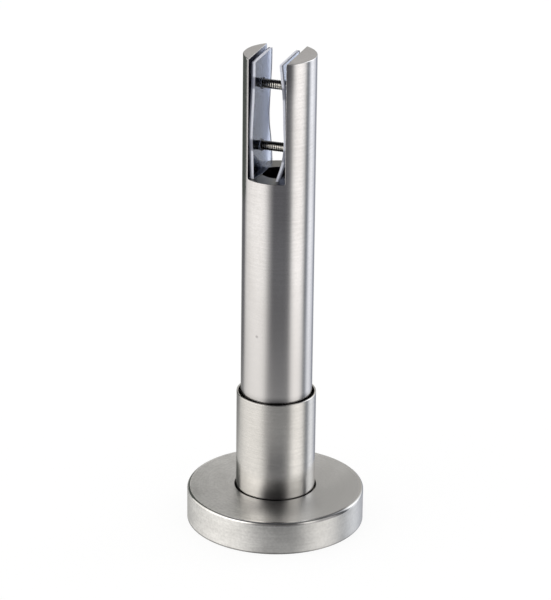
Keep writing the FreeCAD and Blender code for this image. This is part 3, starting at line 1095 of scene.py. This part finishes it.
CARD_LIGHT = 1.3
CARDS = (
    (-180, (0.30, 0.30, 0.29)),
    (-158, (0.34, 0.34, 0.33)),
    (-140, (0.50, 0.50, 0.49)),
    (-122, (0.62, 0.61, 0.59)),
    (-106, (0.78, 0.765, 0.74)),
    (-88, (0.88, 0.86, 0.83)),
    (-66, (0.91, 0.89, 0.86)),
    (-50, (0.87, 0.85, 0.82)),
    (-40, (0.72, 0.705, 0.685)),
    (-31, (0.42, 0.415, 0.41)),
    (-20, (0.36, 0.355, 0.35)),
    (0, (0.28, 0.28, 0.28)),
    (28, (0.30, 0.30, 0.30)),
    (37, (0.31, 0.31, 0.305)),
    (45, (0.70, 0.69, 0.675)),
    (55, (0.97, 0.945, 0.915)),
    (68, (1.00, 0.975, 0.945)),
    (79, (0.94, 0.92, 0.90)),
    (88, (0.58, 0.575, 0.57)),
    (96, (0.13, 0.145, 0.16)),
    (104, (0.22, 0.235, 0.26)),
    (113, (0.88, 0.905, 0.96)),
    (128, (0.95, 0.97, 1.00)),
    (146, (0.27, 0.29, 0.36)),
    (166, (0.25, 0.255, 0.27)),
)
SKY_LIGHT = 3.0
SKY = (
    (-180, (0.222, 0.217, 0.210)),
    (-140, (0.222, 0.217, 0.210)),
    (-112, (0.43, 0.42, 0.40)),
    (-70, (0.66, 0.64, 0.62)),
    (-48, (0.80, 0.78, 0.75)),
    (-37, (0.70, 0.68, 0.66)),
    (-26, (0.02, 0.02, 0.02)),
    (29, (0.012, 0.012, 0.012)),
    (38, (0.27, 0.26, 0.26)),
    (49, (0.55, 0.54, 0.52)),
    (66, (0.54, 0.53, 0.51)),
    (79, (0.53, 0.52, 0.51)),
    (89, (0.05, 0.05, 0.055)),
    (99, (0.05, 0.055, 0.06)),
    (111, (0.95, 0.965, 0.99)),
    (128, (0.62, 0.63, 0.65)),
    (150, (0.222, 0.217, 0.210)),
)
ZENITH_NEAR = (0.08, 0.08, 0.09)
ZENITH_FAR = (0.50, 0.50, 0.50)
CARDS_FOOT = math.radians(-4)
CARDS_TOP = math.radians(8)
SKY_END = math.radians(40)
ZENITH_START = math.radians(58)
RAMP_MIDDLE = 0.5


def ring_of_light(tree, around, stops, strength):
    """Light that changes round the object, from (degrees off the camera, colour) stops.

    The camera's own direction is in the middle of the ramp.
    """
    ramp = put(tree, "ShaderNodeValToRGB", {0: around})
    ramp.color_ramp.interpolation = "B_SPLINE"
    elements = ramp.color_ramp.elements
    while len(elements) < len(stops):
        elements.new(RAMP_MIDDLE)
    for element, (angle, colour) in zip(elements, stops):
        element.position = angle / 360 + RAMP_MIDDLE
        element.color = (*colour, 1)
    inputs = {0: ramp.outputs["Color"], "Scale": strength}
    return put(tree, "ShaderNodeVectorMath", inputs, operation="SCALE").outputs[0]


world = bpy.data.worlds.new("studio")
bpy.context.scene.world = world
world.use_nodes = True
tree = world.node_tree
tree.nodes.clear()
toward = put(tree, "ShaderNodeTexCoord").outputs["Generated"]
x, y, z = axes_of(tree, toward)
off_camera = work_out(tree, "SUBTRACT", direction_of(tree, x, y), CAMERA_AZIMUTH)
turns = work_out(tree, "DIVIDE", off_camera, math.tau)
around = work_out(tree, "FRACT", plus(tree, turns, 1 + RAMP_MIDDLE))
elevation = work_out(tree, "ARCSINE", z)
over_cards = fade(tree, elevation, CARDS_FOOT, CARDS_TOP)
over_sky = fade(tree, elevation, SKY_END, ZENITH_START)
zenith = blend_colour(tree, fade(tree, y, 0.0, 0.35), ZENITH_NEAR, ZENITH_FAR)
sky = blend_colour(tree, over_sky, ring_of_light(tree, around, SKY, SKY_LIGHT), zenith)
studio = blend_colour(tree, over_cards, ring_of_light(tree, around, CARDS, CARD_LIGHT), sky)
path = put(tree, "ShaderNodeLightPath")
plain = work_out(tree, "MAXIMUM", path.outputs["Is Camera Ray"], path.outputs["Is Transmission Ray"])
plain = work_out(tree, "MAXIMUM", plain, path.outputs["Is Diffuse Ray"])
light = blend_colour(tree, plain, studio, (1, 1, 1))
sky_light = put(tree, "ShaderNodeBackground", {"Color": light, "Strength": 1.0})
put(tree, "ShaderNodeOutputWorld", {"Surface": sky_light.outputs[0]})
bpy.context.scene.view_settings.view_transform = "Standard"
